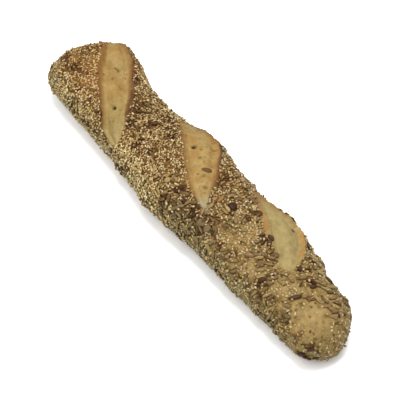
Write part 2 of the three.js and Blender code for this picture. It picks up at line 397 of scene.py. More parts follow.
# kernels that lie together: x, s, reach along and across, how many, turn from the loaf's length and its spread in degrees
CLUSTERS = (
    (110, -16, 12, 6, 14, 40, 11), (130, -21, 4, 6, 5, 46, 12), (143, -36, 6, 6, 8, 72, 12), (160, -34, 6, 6, 7, 48, 30),
    (163, -2, 4, 4, 5, 50, 30), (172, 4, 4, 3, 2, 20, 40), (182, 9, 5, 4, 4, 30, 40), (153, 10, 5, 4, 6, 45, 40),
    (156, 21, 7, 6, 8, 50, 35), (146, 30, 8, 8, 9, 60, 40), (168, 30, 10, 8, 9, 50, 40), (178, 22, 6, 6, 4, 40, 50),
    (136, -4, 6, 4, 5, 40, 30), (118, -4, 5, 3, 5, 50, 30), (62, -12, 10, 7, 12, 20, 45), (48, -18, 7, 5, 7, 60, 40),
    (72, -6, 6, 5, 5, 20, 40), (34, -34, 9, 8, 20, 70, 30), (52, -38, 6, 5, 5, 30, 30), (20, -42, 10, 8, 20, 50, 50),
    (0, -46, 12, 9, 12, 60, 60), (44, -50, 12, 8, 14, 50, 50), (30, -60, 18, 8, 18, 60, 60), (70, -52, 14, 7, 12, 50, 50),
    (-2, -24, 5, 4, 4, 20, 30), (86, -38, 10, 5, 7, 40, 40), (100, -48, 16, 7, 13, 45, 40), (128, -48, 12, 7, 13, 50, 35),
    (150, -52, 12, 7, 12, 50, 35), (172, -48, 8, 6, 3, 50, 40), (50, 10, 10, 6, 8, 20, 50), (64, 22, 8, 6, 6, 35, 50),
    (40, 26, 8, 6, 5, 45, 50), (-14, -30, 10, 6, 5, 40, 60), (-40, -42, 14, 8, 5, 40, 60), (-60, -12, 8, 8, 3, 40, 60),
    (-86, -54, 14, 8, 5, 40, 60), (18, 34, 8, 8, 6, 45, 50), (132, 44, 10, 8, 8, 50, 50),
    (29, -38, 7, 7, 10, 60, 40), (40, -45, 10, 6, 8, 50, 40), (11, -37, 6, 5, 6, 60, 50),
)


# clumps of linseeds and other dark seeds: x, s, reach along and across, how thick
LINSEED_PATCHES = (
    (-184, -25, 6, 4, 0.8), (-169, -23, 5, 5, 1.0), (-151, -62, 6, 8, 0.9), (-150, -36, 4, 4, 0.7), (-129, -57, 4, 6, 0.6), (-122, -61, 6, 4, 0.7),
    (-112, -32, 4, 6, 0.7), (-108, -55, 4, 4, 0.5), (-93, 0, 11, 7, 0.8), (-92, 13, 5, 4, 0.9), (-91, 38, 9, 8, 0.6), (-88, -54, 6, 5, 0.5),
    (-79, -15, 6, 4, 0.9), (-66, 0, 5, 6, 1.0), (-64, -69, 6, 5, 0.8), (-62, 19, 9, 6, 0.9), (-57, -23, 4, 6, 0.9), (-53, -56, 4, 4, 0.8),
    (-42, 2, 6, 4, 0.9), (-39, -18, 4, 7, 0.9), (-14, -69, 5, 6, 0.7), (-5, 34, 4, 5, 0.8), (6, -43, 4, 8, 0.8), (7, -53, 4, 8, 0.7),
    (22, -50, 5, 5, 1.0), (28, 8, 6, 4, 0.6), (30, -72, 5, 5, 0.9), (36, -33, 5, 6, 1.0), (50, -41, 4, 8, 0.9), (55, 21, 4, 5, 0.6),
    (60, -30, 6, 5, 0.8), (76, -36, 4, 4, 0.8), (76, 12, 4, 6, 0.8), (92, -36, 4, 4, 0.7), (107, -53, 5, 4, 0.7), (115, -5, 4, 6, 0.5),
    (127, -29, 3, 7, 0.7), (135, -50, 4, 7, 0.7), (144, -61, 8, 4, 0.6), (156, -61, 9, 4, 0.7), (161, 32, 4, 6, 1.0), (162, -38, 4, 6, 0.7),
    (171, 3, 5, 4, 0.5), (182, 7, 6, 4, 0.6), (189, -67, 6, 6, 1.2), (190, 14, 4, 4, 0.5), (192, -43, 5, 5, 0.5), (-127, 20, 7, 4, 0.4),
    (-176, 24, 12, 10, 0.8), (-152, 32, 9, 6, 0.5), (-180, 0, 7, 6, 0.4),
)
# where the crust and its seeds stayed pale: x, s, reach along and across, how much
PALE_PATCHES = (
    (-161, -52, 9, 5, 0.8), (-149, -25, 4, 6, 0.7), (-123, 33, 4, 8, 0.9), (-91, 24, 6, 5, 1.0), (-86, -22, 9, 8, 0.7), (-51, -46, 6, 4, 0.9),
    (-49, -22, 3, 4, 0.7), (19, -36, 9, 4, 0.7), (54, -12, 4, 4, 0.7), (60, 12, 8, 6, 0.7), (65, -48, 8, 8, 1.0), (76, -26, 5, 8, 0.9),
    (82, -2, 8, 8, 0.7), (91, -22, 9, 8, 0.9), (118, -29, 6, 6, 1.0), (131, 36, 4, 6, 0.7), (138, -3, 8, 4, 0.9), (145, -25, 9, 4, 0.9),
    (158, -26, 9, 5, 0.9), (165, -16, 8, 6, 0.7), (168, -47, 8, 8, 1.0), (170, -39, 6, 8, 0.8), (171, 14, 6, 5, 0.7), (-14, -38, 7, 7, 0.6),
    (-70, -44, 22, 16, 0.9), (-25, -56, 16, 8, 0.6), (142, 14, 8, 6, 0.7), (168, 26, 8, 5, 0.6), (36, -56, 10, 6, 0.5), (-20, -30, 8, 6, 0.5),
    (-40, -42, 18, 18, 0.8), (-92, -36, 14, 14, 0.6), (-90, 27, 12, 10, 0.7), (16, -60, 22, 10, 0.6), (-140, -38, 14, 8, 0.6), (190, -50, 12, 14, 0.7), (188, 20, 10, 16, 0.8),
)


def amount(table, x, s):
    """How much a place belongs to the patches of a table, 0 to 1."""
    d = 0 * x
    for cx, cs, rx, rs, much in table:
        d = np.maximum(d, much * patch(x, s, cx, cs, 0.9 * rx, 0.9 * rs))
    return np.minimum(d, 1)


def in_linseed_patch(x, s):
    return amount(LINSEED_PATCHES, x, s)


def linseed_density(x, s):
    d = 0.0016 - 0.0010 * smooth((x - 140) / 20)
    # the side that the patches don't reach has its own
    p = roll_space(x, s / ROLL)
    d += 0.040 * smooth((patches(p + 300, 17.0) - 0.30) / 0.2) * smooth((np.abs(s + 4) - 50) / 10)
    return np.clip(d * (1 - 0.5 * smooth((x - 160) / 20)), 0, 1)


# seeds that stand out: kind, x, s, turn (degrees from the loaf's length), length, width, thickness
SINGLES = (
    ("dark", 11.2, 5.0, 54, 9.8, 4.4, 1.2), ("dark", 55.4, -0.6, 20, 9.0, 8.6, 4.2), ("dark", 60.8, -4.8, -40, 7.0, 3.8, 2.6), ("dark", 74.0, 1.3, -15, 7.4, 4.4, 2.6),
    ("dark", 75.2, 12.4, -35, 7.8, 4.6, 2.8),
    ("dark", 100.4, -1.6, 25, 7.0, 4.4, 3.2), ("dark", 106.4, -0.6, -50, 7.4, 4.4, 3.2), ("dark", 103.2, 2.6, 5, 7.0, 4.2, 3.0),
    ("dark", 102.4, -5.2, 60, 6.0, 3.6, 2.6), ("dark", 97.0, -1.0, 70, 5.0, 3.2, 2.2),
    ("dark", 138.4, 7.3, 60, 7.4, 5.4, 3.4),
    ("dark", 126.6, -28.0, 62, 8.0, 4.8, 3.0), ("dark", 156.2, -13.8, 64, 12.0, 3.9, 3.0), ("dark", 134.5, 27.0, 40, 7.0, 4.8, 3.0),
    ("dark", 191.0, -39.0, 80, 7.4, 4.4, 2.8), ("dark", 192.5, -45.0, 60, 7.5, 4.4, 2.8), ("dark", 187.5, -47.0, 20, 6.8, 4.0, 2.6),
    ("dark", 35.5, -26.5, 70, 7.6, 3.8, 2.4), ("dark", 38.0, -32.0, 75, 8.4, 4.0, 2.6), ("dark", 15.0, -20.5, 15, 6.6, 3.6, 2.2),
    ("dark", 21.0, -29.5, -10, 7.0, 3.6, 2.4), ("dark", 10.0, -27.0, 0, 5.6, 3.4, 2.2), ("dark", 12.0, -21.5, 40, 5.2, 3.2, 2.2),
    ("dark", -168.0, -24.0, 30, 6.4, 4.2, 2.2), ("dark", -82.0, -13.0, 20, 6.6, 4.0, 2.2), ("dark", -46.0, 9.0, -20, 6.8, 4.0, 2.2),
    ("dark", 150.5, 8.5, 50, 6.6, 3.8, 2.6), ("dark", 154.0, 11.0, 30, 6.4, 3.6, 2.6), ("dark", 157.0, 8.0, 70, 6.0, 3.6, 2.6),
    ("dark", -66.0, -66.0, 50, 8.6, 5.0, 3.2), ("dark", -60.5, -62.0, 20, 7.0, 4.2, 2.6), ("dark", 119.5, 38.0, 60, 7.0, 4.4, 3.0),
    ("dark", 31.0, -69.0, 40, 8.0, 4.6, 3.0), ("dark", 188.0, -64.0, 60, 7.6, 4.6, 3.0), ("dark", -14.0, -66.0, 50, 6.6, 4.0, 2.6),
    ("linseed", 76.5, 37.2, 60, 4.6, 2.4, 1.4), ("linseed", 84.0, 37.0, 30, 4.8, 2.5, 1.4), ("linseed", 90.5, 37.4, 75, 4.6, 2.4, 1.4), ("linseed", 93.5, 36.6, 10, 4.4, 2.4, 1.4),
    ("kernel", 47.4, -33.5, 40, 11.0, 8.0, 3.0), ("kernel", 56.0, -33.0, 75, 10.4, 7.6, 3.0),
    ("kernel", 68.7, -7.4, -25, 8.6, 3.8, 2.4), ("kernel", 139.7, -13.8, 30, 8.8, 4.4, 2.6), ("kernel", 132.0, -19.0, 60, 10.4, 3.6, 2.4),
    ("kernel", 134.8, -6.2, 60, 8.4, 5.2, 2.4), ("kernel", 171.3, 3.4, 30, 8.6, 4.6, 2.6), ("kernel", 181.8, 9.2, 50, 8.4, 4.6, 2.6),
    ("kernel", 161.0, -3.0, 75, 8.6, 4.0, 2.6), ("kernel", 165.0, -1.5, 60, 8.4, 4.2, 2.6), ("kernel", 167.5, 1.5, 45, 7.8, 3.8, 2.6),
    ("kernel", 41.5, 13.4, 20, 8.0, 5.6, 2.2), ("kernel", 43.0, 8.6, -15, 8.0, 5.2, 2.2), ("kernel", 0.6, -21.0, 30, 8.8, 5.4, 2.2),
    ("kernel", -3.0, -26.0, 50, 9.0, 5.0, 2.2), ("kernel", -58.0, -13.0, 30, 9.0, 5.2, 2.0), ("kernel", 117.5, -3.4, 60, 7.6, 5.6, 2.4),
)


class Bins:
    """Discs already laid, found by place."""

    def __init__(self, cell):
        self.cell, self.map = cell, {}

    def clear_of(self, p, r, share):
        c = self.cell
        i, j, k = int(p[0] // c), int(p[1] // c), int(p[2] // c)
        for a in (i - 1, i, i + 1):
            for b in (j - 1, j, j + 1):
                for d in (k - 1, k, k + 1):
                    for q0, q1, q2, qr in self.map.get((a, b, d), ()):
                        gap = (r + qr) * share
                        if (p[0] - q0) ** 2 + (p[1] - q1) ** 2 + (p[2] - q2) ** 2 < gap * gap:
                            return False
        return True

    def add(self, p, r):
        c = self.cell
        self.map.setdefault((int(p[0] // c), int(p[1] // c), int(p[2] // c)), []).append((p[0], p[1], p[2], r))


def discs(length, width):
    """Discs along a seed that stand for its outline: offsets from its middle, and their radius."""
    r = width / 2 * 0.92
    reach = max(length / 2 - r, 0)
    n = max(1, int(math.ceil(reach / r)) * 2 - 1) if reach > 0.3 * r else 1
    return (np.linspace(-reach, reach, n) if n > 1 else np.zeros(1)), r


def clearance(x, phi):
    """How far a seed is from the bare skin of a slash and its bare lips, in mm; its edge is ragged."""
    _, inside, t, side, which, _ = slash_fields(x, phi)
    bare = np.zeros_like(x)
    for k, sign, t0, t1, outer, inner, _ in LIPS:
        on = (which == k) & (side * sign > 0)
        bare = np.maximum(bare, on * outer * 0.75 * smooth((t - t0) / 0.06 + 0.5) * smooth((t1 - t) / 0.06 + 0.5))
    q = roll_space(x, phi)
    return -inside - bare + 0.8 * lumps(q + 30, 4.0) + 2.2 * np.clip(grains(q + 10, 3.0) - 0.15, 0, 1) * smooth((t - 0.85) / 0.12) * (which < 2)


def candidates(r, n, density, top):
    """Even candidates over the crust by area, thinned to a density, as x and phi."""
    x = r.uniform(-LENGTH / 2 + 0.4, LENGTH / 2 - 0.4, n)
    phi = r.uniform(-math.pi, math.pi, n)
    m = n // 130
    share = np.sqrt(r.uniform(0.0004, 0.36, m))
    x[:m] = rounding_at(share, FAR_END) - LENGTH / 2
    share = np.sqrt(r.uniform(0.0004, 0.36, m))
    x[m:2 * m] = LENGTH / 2 - rounding_at(share, NEAR_END)
    e = 0.5
    a = crust(x, phi)
    du = np.linalg.norm(crust(np.clip(x + e, -LENGTH / 2, LENGTH / 2), phi) - a, axis=-1) / e
    dv = np.linalg.norm(crust(x, phi + e / ROLL) - a, axis=-1) / e
    s = ROLL * phi
    even = np.where(np.arange(n) < 2 * m, 1.0, np.clip(du * dv / 1.9, 0, 1))
    keep = r.uniform(0, 1, n) < even * np.clip(density(x, s) / top, 0, 1)
    return x[keep], phi[keep]


class Pile:
    """Seeds already laid, to find how high the next one comes to lie over the crust."""

    def __init__(self, most, cell=7.0):
        self.rows = np.zeros((most, 13))
        self.count, self.cell, self.map = 0, cell, {}

    def heights(self, points):
        """The height of what lies at each point; the first point is the middle of the new seed."""
        c = self.cell
        i, j, k = (int(v // c) for v in points[0])
        found = []
        for a in (i - 1, i, i + 1):
            for b in (j - 1, j, j + 1):
                for d in (k - 1, k, k + 1):
                    found += self.map.get((a, b, d), ())
        if not found:
            return np.zeros(len(points))
        rows = self.rows[found]
        rel = points[:, None] - rows[None, :, 0:3]
        u = (rel * rows[None, :, 3:6]).sum(-1) / rows[:, 9]
        v = (rel * rows[None, :, 6:9]).sum(-1) / rows[:, 10]
        cover = 1 - u * u - v * v
        return np.where(cover > 0, rows[:, 11] + rows[:, 12] * np.sqrt(np.maximum(cover, 0)), 0).max(1)

    def add(self, p, along, side, length, width, rise, thick):
        c = self.cell
        self.rows[self.count] = (*p, *along, *side, length / 2, width / 2, rise, thick / 2)
        self.map.setdefault(tuple(int(v // c) for v in p), []).append(self.count)
        self.count += 1


def lay_seeds():
    """Every seed by kind: x, phi, turn, length, width, thickness, rise of its middle, two tilts (radians) and layer."""
    r = np.random.default_rng(SEED + 7)
    big, small, pile = Bins(12.0), Bins(4.6), Pile(40000)
    out = {"dark": [], "kernel": [], "linseed": [], "sesame": []}

    def settle(kind, x, phi, turn, length, width, thick, p, n, u, most, sunk=0.22):
        """Lays one seed on the crust or on what is there, unless that is too high."""
        v = np.cross(n, u)
        along = math.cos(turn) * u + math.sin(turn) * v
        side = np.cross(n, along)
        a, b = 0.30 * length * along, 0.30 * width * side
        h = pile.heights(np.array([p, p + a, p - a, p + b, p - b]))
        top = max(h[0], 0.5 * (h[1] + h[2]), 0.5 * (h[3] + h[4]))
        if top > most:
            return False
        rise = sunk * thick if top == 0 else max(top + 0.40 * thick, sunk * thick)
        lean = max(-0.6, min(0.6, (h[1] - h[2]) / (0.6 * length))) + r.normal(0, 0.07)
        roll = max(-0.6, min(0.6, (h[3] - h[4]) / (0.6 * width))) + r.normal(0, 0.12)
        if kind == "sesame" and r.uniform() < 0.08:
            # some stand out from the rest
            lean, rise = lean + r.choice((-1, 1)) * r.uniform(0.35, 0.9), rise + 0.35 * length * 0.5
        pile.add(p, along, side, length, width, rise, thick)
        out[kind].append((x, phi, turn, length, width, thick, rise, lean, roll, 1.0 if top > 0.3 else 0.0))
        return True

    def lay(kind, x, phi, turn, length, width, thick, share, most, everywhere=False, sunk=0.25, limit=100000):
        """Lays the seeds of one kind where they are clear enough of those laid before."""
        p, n, u = crust_frame(x, phi)
        v = np.cross(n, u)
        d = np.cos(turn)[:, None] * u + np.sin(turn)[:, None] * v
        clear = clearance(x, phi)
        laid = 0
        for i in range(len(x)):
            if laid >= limit:
                break
            if clear[i] < 0.30 * width[i] and not everywhere:
                continue
            if p[i, 2] < 0.9 + thick[i] * 0.6:
                continue
            offs, rad = discs(length[i], width[i])
            places = [p[i] + d[i] * o for o in offs]
            if all(big.clear_of(q, rad, share) for q in places):
                if settle(kind, x[i], phi[i], turn[i], length[i], width[i], thick[i], p[i], n[i], u[i], most, sunk):
                    laid += 1
                    for q in places:
                        big.add(q, rad + (1.3 if everywhere else 0))

    one = lambda value: np.array([float(value)])
    for kind, x, s, turn, length, width, thick in SINGLES:
        lay(kind, one(x), one(s / ROLL), one(math.radians(turn)), one(length), one(width), one(thick), 0.5, 1.0, True)

    for cx, cs, rx, rs, many, turn, spread in CLUSTERS:
        n = 3 * many
        x = np.clip(r.normal(cx, rx * 0.62, n), -200, 200)
        phi = r.normal(cs, rs * 0.62, n) / ROLL
        turn = np.radians(r.normal(turn, spread, n))
        lay("kernel", x, phi, turn, r.normal(8.9, 0.8, n), r.normal(3.4, 0.34, n), r.normal(2.3, 0.2, n), 0.56, 2.0, sunk=0.30, limit=many)
    x, phi = candidates(r, 30000, kernel_density, 0.02)
    m = len(x)
    q = roll_space(x, phi)
    turn = 0.9 + 0.8 * patches(q + 700, 22.0) + r.normal(0, 0.5, m)
    keep = r.uniform(0, 1, m) < 0.13
    x, phi, turn = x[keep], phi[keep], turn[keep]
    m = len(x)
    lay("kernel", x, phi, turn, r.normal(8.7, 0.8, m), r.normal(3.4, 0.34, m), r.normal(2.2, 0.2, m), 0.62, 1.5, sunk=0.28)

    for cx, cs, rx, rs, much in LINSEED_PATCHES:
        rx, rs = rx + 1, rs + 1
        n = int(rx * rs * 0.75 * much * (1 if cx < 45 else 0.6))
        x, phi = r.normal(cx, 0.55 * rx, n), r.normal(cs, 0.55 * rs, n) / ROLL
        lay("linseed", x, phi, r.uniform(0, TAU, n), r.normal(4.9, 0.35, n), r.normal(2.6, 0.18, n), r.normal(1.3, 0.1, n), 0.56, 1.9, limit=n // 3)
    x, phi = candidates(r, 30000, linseed_density, 0.12)
    m = len(x)
    lay("linseed", x, phi, r.uniform(0, TAU, m), r.normal(4.8, 0.35, m), r.normal(2.5, 0.18, m), r.normal(1.25, 0.1, m), 0.62, 1.7)

    # sesame fills what is left, closer together where it is dense, and lies on the other seeds here and there
    x, phi = candidates(r, 120000, lambda x, s: 0.30 + 0.70 * sesame_density(x, s), 1.0)
    p, n, u = crust_frame(x, phi)
    clear = clearance(x, phi)
    q = roll_space(x, phi)
    density = np.clip(sesame_density(x, ROLL * wrap(phi)) * (1 + 0.35 * patches(q, 14.0) + 0.25 * patches(q + 60, 6.0)
                      - 0.40 * in_linseed_patch(x, ROLL * wrap(phi)) - 0.40 * patch(x, ROLL * wrap(phi), 28, -40, 20, 12)), 0.03, 1.2)
    stray = r.uniform(0, 1, len(x)) < 0.0008
    over = r.uniform(0, 1, len(x)) < 0.16 * (1 - 0.8 * patch(x, ROLL * wrap(phi), 28, -38, 20, 12))
    for i in range(len(x)):
        if (clear[i] < 0.35 and not stray[i]) or p[i, 2] < 1.3:
            continue
        if len(out["sesame"]) >= SESAME_MOST:
            break
        rad = 0.76 / math.sqrt(density[i])
        if not big.clear_of(p[i], 0.7, 0.80) and not over[i]:
            continue
        if small.clear_of(p[i], rad, 1.0):
            if settle("sesame", x[i], phi[i], r.uniform(0, TAU), r.normal(2.9, 0.22), r.normal(1.92, 0.14), r.normal(0.95, 0.08), p[i], n[i], u[i], 2.1, 0.22 - 0.12 * smooth((x[i] - 130) / 40)):
                small.add(p[i], rad)
    return {kind: np.array(rows, float) for kind, rows in out.items()}


SESAME_MOST = 13200


# ---- meshes -----------------------------------------------------------------------------


def drop_shape(around, rings, point, blunt, boxy=1.0):
    """A drop-shaped seed of length, width and thickness 1, pointed at -x: points, triangles and their places on its map."""
    u = (1 - np.cos(math.pi * np.arange(1, rings + 1) / (rings + 1))) / 2
    peak = point / (point + blunt)
    w = (u / peak) ** point * ((1 - u) / (1 - peak)) ** blunt
    t = (4 * u * (1 - u)) ** 0.42
    a = TAU * (np.arange(around) + 0.5) / around
    pts = [(-0.5, 0, 0)]
    for k in range(rings):
        for q in a:
            pts.append((u[k] - 0.5, 0.5 * w[k] * math.cos(q), 0.5 * t[k] * math.copysign(abs(math.sin(q)) ** boxy, math.sin(q))))
    pts.append((0.5, 0, 0))
    last = len(pts) - 1
    tris, uvs = [], []
    for i in range(around):
        j = (i + 1) % around
        v0, v1 = i / around, (i + 1) / around
        tris.append((0, 1 + j, 1 + i)); uvs.append(((0, (v0 + v1) / 2), (u[0], v1), (u[0], v0)))
        for k in range(rings - 1):
            b, c = 1 + k * around, 1 + (k + 1) * around
            tris.append((b + i, b + j, c + j)); uvs.append(((u[k], v0), (u[k], v1), (u[k + 1], v1)))
            tris.append((b + i, c + j, c + i)); uvs.append(((u[k], v0), (u[k + 1], v1), (u[k + 1], v0)))
        b = 1 + (rings - 1) * around
        tris.append((b + i, b + j, last)); uvs.append(((u[-1], v0), (u[-1], v1), (1, (v0 + v1) / 2)))
    return np.array(pts, float), np.array(tris), np.array(uvs, float)


def make_mesh(name, points, triangles, uv, tint, extra=None):
    """A smooth mesh from arrays, in metres, with its colour on each point."""
    me = bpy.data.meshes.new(name)
    me.vertices.add(len(points))
    me.vertices.foreach_set("co", np.ascontiguousarray(points, np.float32).ravel())
    me.loops.add(triangles.size)
    me.loops.foreach_set("vertex_index", triangles.astype(np.int32).ravel())
    me.polygons.add(len(triangles))
    me.polygons.foreach_set("loop_start", np.arange(0, triangles.size, 3, dtype=np.int32))
    me.update(calc_edges=True)
    me.polygons.foreach_set("use_smooth", np.ones(len(triangles), bool))
    layer = me.uv_layers.new(name="OFBake")
    layer.data.foreach_set("uv", np.ascontiguousarray(uv, np.float32).ravel())
    at = me.attributes.new("tint", "FLOAT_COLOR", "POINT")
    at.data.foreach_set("color", np.concatenate([tint, np.ones((len(tint), 1))], 1).astype(np.float32).ravel())
    for key, values in (extra or {}).items():
        at = me.attributes.new(key, "FLOAT", "POINT")
        at.data.foreach_set("value", values.astype(np.float32))
    me.update()
    ob = bpy.data.objects.new(name, me)
    bpy.context.scene.collection.objects.link(ob)
    return ob


def make_seeds(name, rows, shape, tints, wobble=0.0, curl=0.0, seed=0, underside_shade=0.7, underside_shade_at=-0.3):
    """All seeds of one kind as one mesh: each a closed drop, laid on the crust, with a tile of the map of its own."""
    pts, tris, uvs = shape
    n = len(rows)
    r = np.random.default_rng(SEED + 60 + seed)
    x, phi, turn, length, width, thick, rise, tilt_a, tilt_b, _ = rows.T
    p, nrm, u = crust_frame(x, phi)
    v = np.cross(nrm, u)
    along = np.cos(turn)[:, None] * u + np.sin(turn)[:, None] * v
    side = np.cross(nrm, along)
    # tilt about the side, then roll about the length
    ca, sa = np.cos(tilt_a)[:, None], np.sin(tilt_a)[:, None]
    along, up = along * ca + nrm * sa, nrm * ca - along * sa
    cb, sb = np.cos(tilt_b)[:, None], np.sin(tilt_b)[:, None]
    side, up = side * cb + up * sb, up * cb - side * sb
    local = pts[None] * np.stack([length, width, thick], -1)[:, None, :]
    if wobble:
        q = pts[None] * 2.2 + r.uniform(0, 200, (n, 1, 3))
        local *= (1 + wobble * grains(q, 1.0))[..., None]
    if curl:
        bend = r.normal(0, curl, n)[:, None]
        local[..., 1] += bend * (4 * pts[None, :, 0] ** 2) * width[:, None]
    middle = p + nrm * rise[:, None]
    world = middle[:, None] + local[..., :1] * along[:, None] + local[..., 1:2] * side[:, None] + local[..., 2:] * up[:, None]
    world[..., 2] = np.maximum(world[..., 2], 0.05)
    m = len(pts)
    tri = (tris[None] + (np.arange(n) * m)[:, None, None]).reshape(-1, 3)
    grid = int(math.ceil(math.sqrt(n)))
    cell = np.stack([np.arange(n) % grid, np.arange(n) // grid], -1)[:, None, None]
    uv = ((cell + 0.06 + 0.88 * uvs[None]) / grid).reshape(-1, 2)
    # darker towards the underside of each seed: painted shade where it meets the crust, with some browning
    shade = underside_shade + (1 - underside_shade) * smooth((pts[:, 2] - underside_shade_at) / 0.55)
    tint = (tints[:, None] * shade[None, :, None] ** np.array([0.9, 1.05, 1.5])).reshape(-1, 3)
    return make_mesh(name, world.reshape(-1, 3) / 1000, tri, uv, tint)


# ---- materials --------------------------------------------------------------------------


def new_material(name):
    m = bpy.data.materials.new(name)
    m.use_nodes = True
    t = m.node_tree
    t.nodes.clear()
    out = t.nodes.new("ShaderNodeOutputMaterial")
    bsdf = t.nodes.new("ShaderNodeBsdfPrincipled")
    t.links.new(bsdf.outputs["BSDF"], out.inputs["Surface"])
    return m, t, bsdf


def node(t, kind, **values):
    n = t.nodes.new(kind)
    for key, value in values.items():
        if hasattr(n, key):
            setattr(n, key, value)
        else:
            n.inputs[key].default_value = value
    return n


def noise_node(t, scale, detail=3.0, rough=0.55, stretch=None):
    co = t.nodes.new("ShaderNodeTexCoord")
    src = co.outputs["Object"]
    if stretch:
        mp = t.nodes.new("ShaderNodeMapping")
        mp.inputs["Scale"].default_value = stretch
        t.links.new(src, mp.inputs["Vector"])
        src = mp.outputs["Vector"]
    n = t.nodes.new("ShaderNodeTexNoise")
    n.inputs["Scale"].default_value = scale
    n.inputs["Detail"].default_value = detail
    n.inputs["Roughness"].default_value = rough
    t.links.new(src, n.inputs["Vector"])
    return n.outputs["Fac"]


def ranged(t, fac, lo, hi, to_lo, to_hi):
    n = t.nodes.new("ShaderNodeMapRange")
    n.inputs["From Min"].default_value, n.inputs["From Max"].default_value = lo, hi
    n.inputs["To Min"].default_value, n.inputs["To Max"].default_value = to_lo, to_hi
    t.links.new(fac, n.inputs["Value"])
    return n.outputs["Result"]


def times(t, a, b):
    n = t.nodes.new("ShaderNodeMath")
    n.operation = "MULTIPLY"
    t.links.new(a, n.inputs[0])
    t.links.new(b, n.inputs[1])
    return n.outputs[0]


def shaded(t, colour, factor):
    """A colour made lighter or darker by a factor."""
    n = t.nodes.new("ShaderNodeVectorMath")
    n.operation = "SCALE"
    t.links.new(colour, n.inputs[0])
    t.links.new(factor, n.inputs["Scale"])
    return n.outputs["Vector"]


def blended(t, fac, colour, other):
    n = t.nodes.new("ShaderNodeMix")
    n.data_type = "RGBA"
    t.links.new(fac, n.inputs["Factor"])
    t.links.new(colour, n.inputs["A"])
    n.inputs["B"].default_value = (*other, 1)
    return n.outputs["Result"]


def attribute(t, name, socket):
    n = t.nodes.new("ShaderNodeAttribute")
    n.attribute_name = name
    return n.outputs[socket]


def bump(t, height, strength, distance, normal=None):
    n = t.nodes.new("ShaderNodeBump")
    n.inputs["Strength"].default_value = strength
    n.inputs["Distance"].default_value = distance
    t.links.new(height, n.inputs["Height"])
    if normal:
        t.links.new(normal, n.inputs["Normal"])
    return n.outputs["Normal"]


def crust_material():
    m, t, b = new_material("baked_crust")
    tint = attribute(t, "tint", "Color")
    opened = attribute(t, "opened", "Fac")
    # blotches of browning, then fine speckle
    colour = shaded(t, tint, ranged(t, noise_node(t, 210, 4, 0.6), 0.3, 0.7, 0.86, 1.12))
    colour = shaded(t, colour, ranged(t, noise_node(t, 1150, 3, 0.6), 0.32, 0.68, 0.88, 1.10))
    # olive mottling, and thin creases of the opened skin drawn as dark lines of painted shade
    mottle = times(t, ranged(t, noise_node(t, 150, 3, 0.6), 0.52, 0.68, 0.0, 0.30), opened)
    colour = blended(t, mottle, colour, tuple(own(150, 124, 72)))
    speck = times(t, ranged(t, noise_node(t, 640, 2, 0.5), 0.66, 0.73, 0.0, 0.50), opened)
    colour = blended(t, speck, colour, tuple(own(126, 98, 52)))
    away = t.nodes.new("ShaderNodeMath")
    away.operation = "SUBTRACT"
    away.inputs[1].default_value = 0.5
    t.links.new(noise_node(t, 330, 2, 0.5), away.inputs[0])
    near = t.nodes.new("ShaderNodeMath")
    near.operation = "ABSOLUTE"
    t.links.new(away.outputs[0], near.inputs[0])
    line = ranged(t, near.outputs[0], 0.0, 0.014, 0.45, 0.0)
    line = times(t, times(t, line, ranged(t, noise_node(t, 120, 2, 0.5), 0.50, 0.60, 0.0, 1.0)), opened)
    colour = blended(t, line, colour, tuple(own(118, 92, 50)))
    # small browned flecks, and pinholes painted as dark specks of shade
    fleck = ranged(t, noise_node(t, 560, 2, 0.5), 0.66, 0.74, 0.0, 0.45)
    fleck = times(t, fleck, ranged(t, opened, 0.0, 1.0, 1.0, 0.35))
    colour = blended(t, fleck, colour, tuple(own(92, 66, 32)))
    t.links.new(colour, b.inputs["Base Color"])
    t.links.new(ranged(t, noise_node(t, 380, 3, 0.6), 0.3, 0.7, 0.52, 0.76), b.inputs["Roughness"])
    b.inputs["Specular IOR Level"].default_value = 0.10
    rough = bump(t, noise_node(t, 760, 4, 0.62), 0.55, 0.0006)
    rough = bump(t, noise_node(t, 2600, 2, 0.5), 0.35, 0.0002, rough)
    t.links.new(rough, b.inputs["Normal"])
    return m


def seed_material(name, rough, level, depth, streak=False, coat=0.0):
    m, t, b = new_material(name)
    tint = attribute(t, "tint", "Color")
    colour = shaded(t, tint, ranged(t, noise_node(t, 900, 3, 0.6), 0.3, 0.7, 1 - depth, 1 + depth))
    colour = shaded(t, colour, ranged(t, noise_node(t, 3200, 2, 0.5), 0.3, 0.7, 1 - depth * 0.6, 1 + depth * 0.6))
    t.links.new(colour, b.inputs["Base Color"])
    t.links.new(ranged(t, noise_node(t, 1500, 2, 0.5), 0.3, 0.7, rough - 0.07, rough + 0.09), b.inputs["Roughness"])
    b.inputs["Specular IOR Level"].default_value = level
    if coat:
        b.inputs["Coat Weight"].default_value = coat
        b.inputs["Coat Roughness"].default_value = 0.3
    height = noise_node(t, 2200 if not streak else 1300, 3, 0.6)
    t.links.new(bump(t, height, 0.35, 0.00025), b.inputs["Normal"])
    return m


# ---- colours ----------------------------------------------------------------------------

LIGHT = 1.60  # how much brighter a lit crust shows than its own colour


def own(r, g, b):
    """The surface colour that shows as this sRGB colour under the studio light."""
    return lin(r, g, b) / LIGHT


def mix(a, b, w):
    w = np.asarray(w)[..., None]
    return a * (1 - w) + b * w


